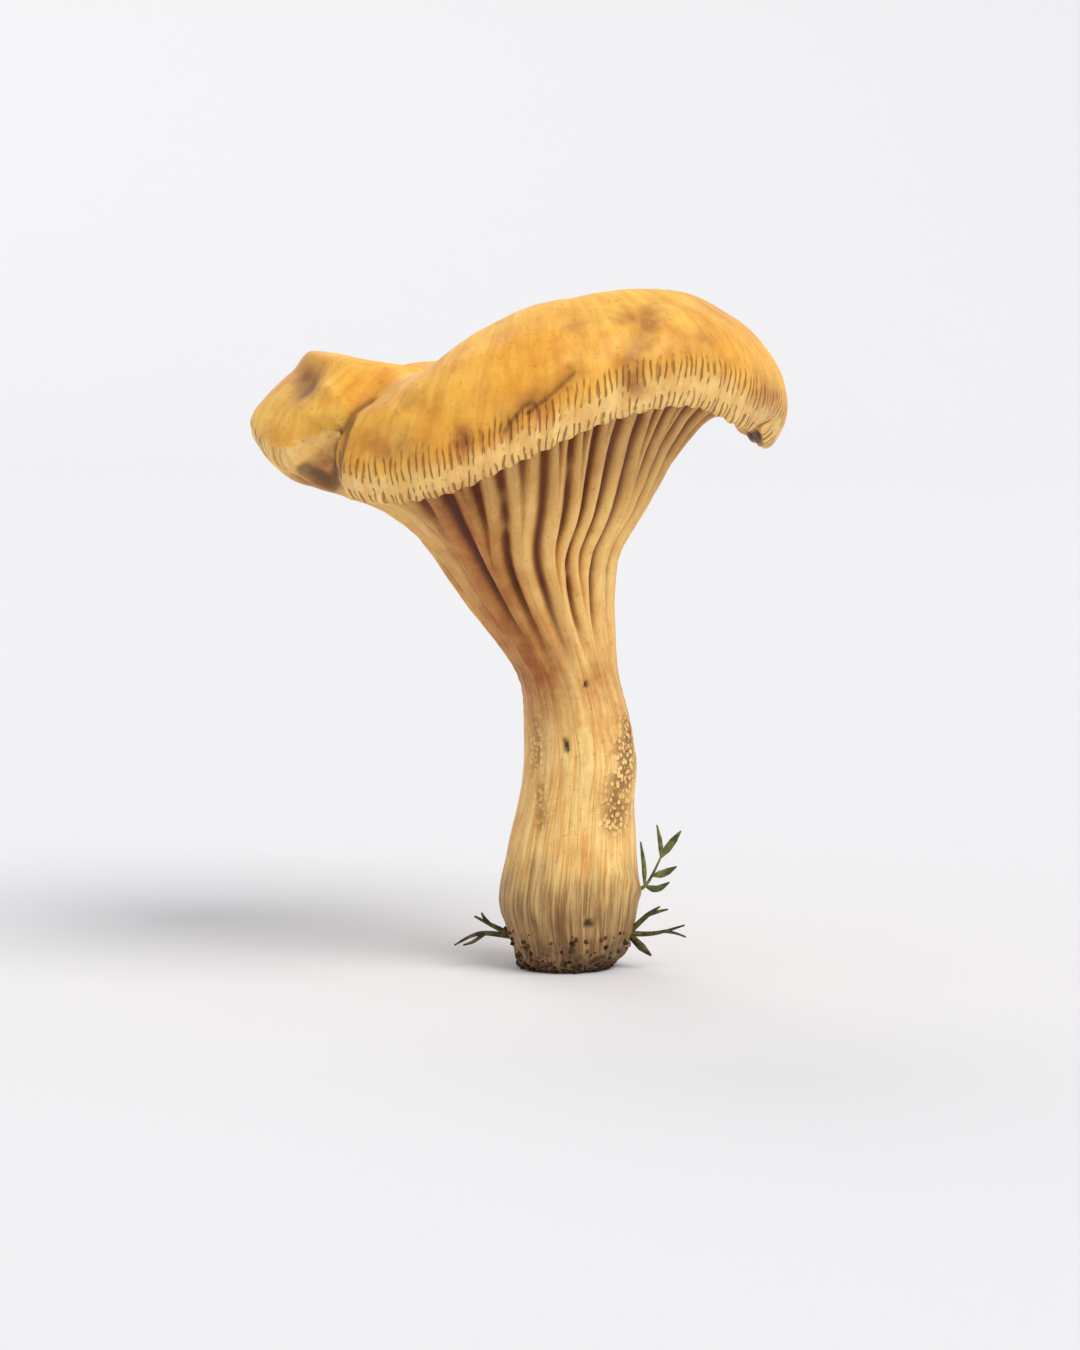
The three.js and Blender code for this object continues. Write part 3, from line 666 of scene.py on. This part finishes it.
def flesh_material():
    n = Nodes("chanterelle_flesh")
    place = n.tree.nodes.new("ShaderNodeTexCoord").outputs["Object"]
    fibre = n.data("fibre", "Vector")
    way, valley, hollow_shade = n.data("way"), n.data("valley"), n.data("hollow_shade")
    cloud = n.noise(place, 80.0, 3.0)
    mottle = n.noise(place, 300.0, 4.0)
    speckle = n.noise(place, 1600.0, 2.0)
    threads = n.noise(n.scaled(fibre, (1.0, 1.0, 0.55)), 2.6, 4.0, 0.65)
    cells = n.cells(place, 1250.0)

    # Short fine lines in two rows, below and above the pale rolled edge, and in one on the left lobe.
    left = n.data("left_lobe")
    wander = n.noise(fibre, 1.3, 2.0)
    turn = n.math("ARCTAN2", *n.parts(fibre)[1::-1])
    phase = n.math("ADD", n.math("MULTIPLY", turn, EDGE_LINES), n.math("MULTIPLY", wander, LINE_WANDER))
    phase = n.math("ADD", phase, n.math("MULTIPLY", way, LINE_LEAN))
    lines = n.span(n.math("SINE", phase), 0.35, 0.95)
    lines = n.math("MULTIPLY", lines, n.span(n.noise(fibre, 5.0, 1.0), 0.3, 0.5, 0.35, 1.0))
    ragged = n.math("ADD", way, n.span(n.noise(fibre, 9.0, 0.0), 0.2, 0.8, -0.14, 0.14))
    low_end = n.math("ADD", n.math("MULTIPLY", left, 0.5), 0.36)
    low_row = n.math("MULTIPLY", n.span(ragged, -0.35, -0.1), n.math("LESS_THAN", ragged, low_end))
    high_row = n.math("MULTIPLY", n.span(ragged, 0.62, 0.72), n.span(ragged, 1.0, 1.35, 1.0, 0.0))
    high_row = n.math("MULTIPLY", high_row, n.span(left, 0.2, 0.6, 1.0, 0.0))
    rows = n.math("ADD", low_row, high_row, clamp=True)
    ticks = n.math("MULTIPLY", rows, n.math("MULTIPLY", lines, n.data("lined")))

    # Pale gill crests, with painted shade down in the valleys between them.
    gill = n.blend("MIX", n.span(valley, 0.25, 0.92), srgb(*GILL_CREST), srgb(*GILL_VALLEY_SHADE))
    # More painted shade on the gills under the rim, strongest in the valleys.
    shade_under_lip = n.math("MULTIPLY", n.data("shade_under_lip"), n.span(valley, 0.0, 0.6, 0.34, 0.85))
    gill = n.blend("MIX", shade_under_lip, gill, srgb(*SHADE_UNDER_EDGE))
    low_stem = n.blend("MIX", n.span(threads, 0.3, 0.7), srgb(*STEM_FIBRE), srgb(*STEM_PALE))
    colour = n.blend("MIX", n.data("stem"), gill, low_stem)
    top = n.blend("MIX", n.span(cloud, 0.35, 0.65), srgb(*CAP_DEEP), srgb(*CAP_PALE))
    colour = n.blend("MIX", n.data("cap"), colour, top)
    # A painted highlight along the rolled edge.
    lip_highlight = n.math("MULTIPLY", n.span(ragged, -0.3, 0.3, 0.0, 0.75), n.span(ragged, 0.55, 1.0, 1.0, 0.0))
    colour = n.blend("MIX", lip_highlight, colour, srgb(*EDGE_HIGHLIGHT))
    colour = n.blend("MULTIPLY", n.span(threads, 0.35, 0.6, 0.30, 0.0), colour, srgb(*FIBRE_TINT))
    colour = n.blend("MULTIPLY", n.span(mottle, 0.38, 0.6, 0.22, 0.0), colour, srgb(*FIBRE_TINT))
    colour = n.blend("MULTIPLY", n.span(speckle, 0.60, 0.72, 0.0, 0.28), colour, srgb(*SPECKLE_TINT))
    # Painted shade, a little uneven.
    painted_shade = n.math("MULTIPLY", n.data("painted_shade"), n.span(mottle, 0.3, 0.7, 0.95, 0.75))
    colour = n.blend("MULTIPLY", painted_shade, colour, srgb(*PAINTED_SHADE_TINT))
    # Painted shade and faint blotches in bruise brown, a little uneven.
    stain_and_shade = n.math("MULTIPLY", n.data("stain_and_shade"), n.span(mottle, 0.35, 0.65, 0.95, 0.55))
    colour = n.blend("MIX", stain_and_shade, colour, srgb(*BRUISE_AND_SHADE))
    colour = n.blend("MIX", n.math("MULTIPLY", ticks, 0.72), colour, srgb(*LINE_BROWN))
    gaps = n.math("MULTIPLY", n.span(cells, 0.38, 0.6), n.data("pebbles"))
    colour = n.blend("MIX", n.math("MULTIPLY", gaps, 0.8), colour, srgb(*PEBBLE_GAP))
    colour = n.blend("MULTIPLY", n.math("MULTIPLY", n.data("funnel"), 0.5), colour, srgb(*FUNNEL_TINT))
    brown = n.math("MULTIPLY", n.data("earthy"), n.span(threads, 0.3, 0.65, 0.95, 0.6))
    colour = n.blend("MIX", brown, colour, srgb(*EARTHY))
    # Painted shade in pits and hollows.
    colour = n.blend("MIX", n.math("MULTIPLY", hollow_shade, 0.95), colour, srgb(*HOLLOW_SHADE_DARK))
    earth = n.blend("MIX", n.span(speckle, 0.4, 0.6), srgb(*SOIL_DARK), srgb(*SOIL_PALE))
    dirt = n.math("MULTIPLY", n.data("soil"), n.span(mottle, 0.35, 0.6, 0.25, 1.0), clamp=True)
    colour = n.blend("MIX", dirt, colour, earth)
    n.put(n.bsdf, "Base Color", colour)

    shine = n.span(cloud, 0.3, 0.7, 0.44, 0.58)
    n.put(n.bsdf, "Roughness", n.math("MAXIMUM", shine, n.math("MULTIPLY", dirt, 0.92)))
    n.put(n.bsdf, "Specular IOR Level", 0.4)
    n.put(n.bsdf, "Subsurface Weight", 0.16)
    n.put(n.bsdf, "Subsurface Radius", (1.0, 0.45, 0.15))
    n.put(n.bsdf, "Subsurface Scale", 1.4 * MM)

    relief = n.bump(threads, 0.14 * MM, 0.8)
    relief = n.bump(n.noise(place, 1000.0, 4.0, 0.6), 0.07 * MM, 0.8, relief)
    relief = n.bump(n.math("MULTIPLY", ticks, -1.0), 0.22 * MM, 1.0, relief)
    relief = n.bump(n.math("MULTIPLY", gaps, -1.0), 0.3 * MM, 1.0, relief)
    grains = n.math("MULTIPLY", n.noise(place, 1200.0, 3.0), n.data("soil"))
    n.put(n.bsdf, "Normal", n.bump(grains, 0.4 * MM, 1.0, relief))
    return n.material


def plant_material(name, dark, light, roughness):
    n = Nodes(name)
    place = n.tree.nodes.new("ShaderNodeTexCoord").outputs["Object"]
    patch = n.noise(place, 900.0, 3.0)
    streak = n.noise(place, 2600.0, 2.0)
    colour = n.blend("MIX", n.span(patch, 0.35, 0.65), srgb(*dark), srgb(*light))
    colour = n.blend("MULTIPLY", n.span(streak, 0.5, 0.66, 0.0, 0.5), colour, srgb(*PLANT_TINT))
    n.put(n.bsdf, "Base Color", colour)
    n.put(n.bsdf, "Roughness", n.span(patch, 0.3, 0.7, roughness - 0.08, roughness + 0.08))
    n.put(n.bsdf, "Specular IOR Level", 0.35)
    n.put(n.bsdf, "Normal", n.bump(streak, 0.08 * MM, 0.8))
    return n.material


def soil_material():
    n = Nodes("foot_soil")
    place = n.tree.nodes.new("ShaderNodeTexCoord").outputs["Object"]
    patch = n.noise(place, 700.0, 3.0)
    fine = n.noise(place, 3000.0, 3.0)
    colour = n.blend("MIX", n.span(patch, 0.35, 0.65), srgb(*CRUMB_DARK), srgb(*CRUMB_PALE))
    colour = n.blend("MULTIPLY", n.span(fine, 0.4, 0.6, 0.5, 0.0), colour, srgb(*CRUMB_TINT))
    n.put(n.bsdf, "Base Color", colour)
    n.put(n.bsdf, "Roughness", n.span(fine, 0.3, 0.7, 0.85, 0.97))
    n.put(n.bsdf, "Specular IOR Level", 0.2)
    n.put(n.bsdf, "Normal", n.bump(fine, 0.2 * MM, 1.0))
    return n.material


# The litter

STRAND_SIDES, STRAND_STEPS = 10, 8
THINNEST, LEAF_CUP = 0.16, 0.16
# Roots sink this far into the foot.
ROOT_DEPTH = 0.6


def strand_rows(path, widths, flat):
    """Rows of points along a smooth path, as wide as widths say and flat times as thick."""
    path = [np.asarray(p, float) for p in path]
    ends = [2 * path[0] - path[1]] + path + [2 * path[-1] - path[-2]]
    rows = []
    total = (len(path) - 1) * STRAND_STEPS
    for s in range(total + 1):
        k = min(s // STRAND_STEPS, len(path) - 2)
        f = s / STRAND_STEPS - k
        centre = between(ends[k], ends[k + 1], ends[k + 2], ends[k + 3], f)
        ahead = between(ends[k], ends[k + 1], ends[k + 2], ends[k + 3], f + 0.02) - centre
        ahead /= np.linalg.norm(ahead)
        side = np.cross((0.0, 1.0, 0.0), ahead)
        side /= np.linalg.norm(side)
        face = np.cross(ahead, side)
        width = np.interp(s / total, np.linspace(0, 1, len(widths)), widths)
        angles = np.arange(STRAND_SIDES) * 2 * math.pi / STRAND_SIDES
        thick = max(width * flat, THINNEST)
        cup = LEAF_CUP * width * np.cos(angles) ** 2 if flat < 0.5 else 0.0 * angles
        row = centre + np.outer(np.cos(angles) * width / 2, side)
        rows.append(row + np.outer(np.sin(angles) * thick / 2 + cup, face))
    return np.array(rows), path[0], path[-1]


def blades_piece(name, blades, material, node):
    """One piece of all the blades, each of which is a closed body rooted in another or in the foot."""
    verts, faces = [], []
    for path, widths, flat in blades:
        rows, first, last = strand_rows(path, widths, flat)
        count = rows.shape[1]
        start = len(verts)
        verts.extend((rows.reshape(-1, 3) * MM).tolist())
        for r in range(len(rows) - 1):
            low, high = start + r * count, start + (r + 1) * count
            for j in range(count):
                k = (j + 1) % count
                faces.append((low + j, low + k, high + k, high + j))
        top = start + (len(rows) - 1) * count
        foot, tip = len(verts), len(verts) + 1
        verts.append((np.asarray(first) * MM).tolist())
        verts.append((np.asarray(last) * MM).tolist())
        for j in range(count):
            k = (j + 1) % count
            faces.append((start + k, start + j, foot))
            faces.append((top + j, top + k, tip))
    piece = linked_piece(name, verts, faces, material)
    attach(piece, "root")
    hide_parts(node)
    return piece


def foot_point(degrees, height, clear):
    """A point clear of the foot's side, or in it where clear is below 0, at a height."""
    low, high = 0.0, float(NECK)
    deg = np.array([float(degrees)])
    for _ in range(40):
        t = (low + high) / 2
        if body_points(deg, t)[0, 2] < height:
            low = t
        else:
            high = t
    x, y, _ = body_points(deg, low)[0]
    a = math.radians(degrees)
    return (x + clear * math.cos(a), y + clear * math.sin(a), height)


# The pieces. Each blade has the points of its path, its widths and its thickness as a share of them.

points, fibre, data = mushroom()
ends = [(STEM[0][1], 0.0, 0.0), (*FUNNEL_CENTRE, FUNNEL_FLOOR)]
body = body_piece(points, fibre, data, ends, flesh_material())
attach(body, "root")
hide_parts("chanterelle")

moss = plant_material("moss", MOSS_DARK, MOSS_PALE, 0.75)
leaf = plant_material("leaf", LEAF_DARK, LEAF_PALE, 0.6)
left_root = foot_point(185, 4.4, -ROOT_DEPTH)
blades_piece("moss_strands_left", [
    ([left_root, (-11.2, -1.2, 6.2), (-13.4, -1.6, 7.4)], (0.9, 0.6, 0.3), 0.9),
    ([(-11.2, -1.2, 6.2), (-12.0, -1.9, 7.2), (-12.4, -2.2, 8.0)], (0.5, 0.5, 0.25), 0.9),
    ([left_root, (-11.9, -1.0, 4.9), (-14.0, -1.4, 4.5), (-16.2, -2.2, 3.4)], (0.9, 0.7, 0.5, 0.25), 0.9),
    ([(-11.9, -1.0, 4.9), (-13.6, -0.4, 3.6), (-15.0, 0.2, 3.0)], (0.6, 0.5, 0.25), 0.9),
], moss, "moss_left")
right_root = foot_point(352, 4.9, -ROOT_DEPTH)
blades_piece("moss_strands_right", [
    ([right_root, (10.9, -1.8, 7.6), (12.6, -2.4, 8.9)], (0.9, 0.7, 0.25), 0.9),
    ([(10.9, -1.8, 7.6), (12.4, -1.2, 8.0), (13.8, -1.0, 8.3)], (0.6, 0.5, 0.25), 0.9),
    ([right_root, (10.9, -1.6, 4.9), (13.3, -1.8, 5.3), (16.1, -2.0, 6.2)], (0.9, 0.7, 0.5, 0.25), 0.9),
    ([(13.3, -1.8, 5.3), (14.8, -1.6, 5.0), (16.3, -1.2, 4.4)], (0.5, 0.4, 0.25), 0.9),
    ([right_root, (10.0, -2.4, 3.2), (11.4, -2.8, 2.0)], (0.8, 1.2, 0.3), 0.35),
], moss, "moss_right")
sprig_root = foot_point(356, 10.6, -ROOT_DEPTH)
blades_piece("sprig_leaves", [
    ([sprig_root, (10.5, -0.9, 11.6), (11.5, -0.8, 13.0), (12.8, -0.8, 15.7)], (0.7, 0.5, 0.4, 0.3), 0.9),
    ([(12.8, -0.8, 15.6), (12.7, -1.0, 17.6), (12.2, -1.2, 20.3)], (0.3, 0.7, 0.6, 0.2), 0.2),
    ([(12.8, -0.8, 15.6), (14.1, -0.8, 17.4), (15.6, -0.8, 19.4)], (0.3, 1.1, 1.0, 0.2), 0.2),
    ([(11.5, -0.8, 13.0), (13.2, -1.0, 13.4), (15.0, -1.2, 14.4)], (0.3, 1.1, 1.0, 0.2), 0.2),
    ([(10.5, -0.9, 11.6), (10.4, -1.4, 14.4), (9.9, -1.8, 18.0)], (0.3, 0.7, 0.6, 0.2), 0.2),
    ([(10.5, -0.9, 11.6), (12.2, -1.2, 11.2), (14.0, -1.4, 12.2)], (0.3, 1.0, 0.9, 0.2), 0.2),
], leaf, "leafy_sprig")


CRUMBS, LOWEST_CRUMB, CRUMB_SPREAD, LOW_BIAS = 420, 0.3, 5.5, 2.6
SMALLEST_CRUMB, CRUMB_RANGE, CRUMB_SINK = 0.12, 0.34, 0.15


def soil_crumbs():
    """Crumbs of soil that cling to the foot, most of them low down. Each is an uneven icosahedron."""
    verts, faces = [], []
    phi = (1 + 5 ** 0.5) / 2
    corners = np.array([
        (-1, phi, 0), (1, phi, 0), (-1, -phi, 0), (1, -phi, 0), (0, -1, phi), (0, 1, phi),
        (0, -1, -phi), (0, 1, -phi), (phi, 0, -1), (phi, 0, 1), (-phi, 0, -1), (-phi, 0, 1)]) / 1.9
    sides = ((0, 11, 5), (0, 5, 1), (0, 1, 7), (0, 7, 10), (0, 10, 11), (1, 5, 9), (5, 11, 4),
             (11, 10, 2), (10, 7, 6), (7, 1, 8), (3, 9, 4), (3, 4, 2), (3, 2, 6), (3, 6, 8),
             (3, 8, 9), (4, 9, 5), (2, 4, 11), (6, 2, 10), (8, 6, 7), (9, 8, 1))
    for i in range(CRUMBS):
        degrees = 360.0 * chance(i, 41)
        height = LOWEST_CRUMB + CRUMB_SPREAD * chance(i, 42) ** LOW_BIAS
        size = SMALLEST_CRUMB + CRUMB_RANGE * chance(i, 43) ** 2
        if height < size:
            height = size + 0.05
        centre = np.array(foot_point(degrees, height, -CRUMB_SINK * size))
        wobble = 0.7 + 0.6 * np.array([chance(i * 12 + k, 44) for k in range(12)])
        stretch = 0.7 + 0.6 * np.array([chance(i, 45), chance(i, 46), chance(i, 47)])
        made = centre + corners * wobble[:, None] * size * stretch
        made[:, 2] = np.maximum(made[:, 2], 0.02)
        start = len(verts)
        verts.extend((made * MM).tolist())
        faces.extend([tuple(start + k for k in side) for side in sides])
    piece = linked_piece("foot_soil", verts, faces, soil_material(), rounded=False)
    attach(piece, "root")


soil_crumbs()

# The stage, in metres

FLOOR_RADII, WALL_RADIUS, FLOOR_SIDES = (0.15, 0.4, 0.8, 1.2), 0.8, 96


def stage():
    """A pale floor that curves up into a wall all round, far behind everything."""
    ring = [(radius, 0.0) for radius in FLOOR_RADII]
    for a in np.radians(np.arange(6, 85, 6)):
        ring.append((FLOOR_RADII[-1] + WALL_RADIUS * math.sin(a), WALL_RADIUS - WALL_RADIUS * math.cos(a)))
    count = FLOOR_SIDES
    verts = [(0.0, 0.0, 0.0)]
    faces = []
    for r, z in ring:
        for a in np.arange(count) * 2 * math.pi / count:
            verts.append((r * math.cos(a), r * math.sin(a), z))
    for j in range(count):
        faces.append((0, 1 + j, 1 + (j + 1) % count))
    for k in range(len(ring) - 1):
        for j in range(count):
            a, b = 1 + k * count + j, 1 + k * count + (j + 1) % count
            faces.append((a, a + count, b + count, b))
    n = Nodes("pale_floor")
    n.put(n.bsdf, "Base Color", srgb(*FLOOR_GREY))
    n.put(n.bsdf, "Roughness", 0.9)
    n.put(n.bsdf, "Specular IOR Level", 0.1)
    floor = linked_piece("floor", verts, faces, n.material)


def sun(name, azimuth, elevation, softness, strength, colour):
    """A soft sun. Azimuth 0 shines from -Y, where the camera is, and 90 from +X."""
    light = bpy.data.lights.new(name, "SUN")
    light.angle = math.radians(softness)
    light.energy = strength
    light.color = colour
    lamp = bpy.data.objects.new(name, light)
    bpy.context.scene.collection.objects.link(lamp)
    a, e = math.radians(azimuth), math.radians(elevation)
    source = Vector((math.sin(a) * math.cos(e), -math.cos(a) * math.cos(e), math.sin(e)))
    lamp.rotation_euler = source.to_track_quat("Z", "Y").to_euler()


stage()
sun("key", 48.0, 50.0, 38.0, 2.1, (1.0, 0.97, 0.93))
sun("rim", 200.0, 40.0, 30.0, 0.5, (1.0, 0.98, 0.95))

world = bpy.data.worlds.new("studio")
world.use_nodes = True
sky = world.node_tree.nodes["Background"]
sky.inputs["Color"].default_value = (0.95, 0.97, 1.0, 1.0)
sky.inputs["Strength"].default_value = 0.56
bpy.context.scene.world = world
bpy.context.scene.view_settings.view_transform = "Standard"

# The frame is 1080 by 1350, and 0.14 mm a pixel at the stem.
LENS, SENSOR = 120.0, 36.0
camera = bpy.data.cameras.new("camera")
camera.lens = LENS
camera.sensor_width = SENSOR
camera.sensor_fit = "AUTO"
camera.clip_start = 0.01
camera.clip_end = 20.0
eye = bpy.data.objects.new("camera", camera)
bpy.context.scene.collection.objects.link(eye)
tilt = math.radians(VIEW_ELEVATION)
back = Vector((0.0, -math.cos(tilt), math.sin(tilt)))
eye.location = (Vector(VIEW_MIDDLE) + back * VIEW_DISTANCE) * MM
eye.rotation_mode = "QUATERNION"
eye.rotation_quaternion = (-back).to_track_quat("-Z", "Y")
bpy.context.scene.camera = eye
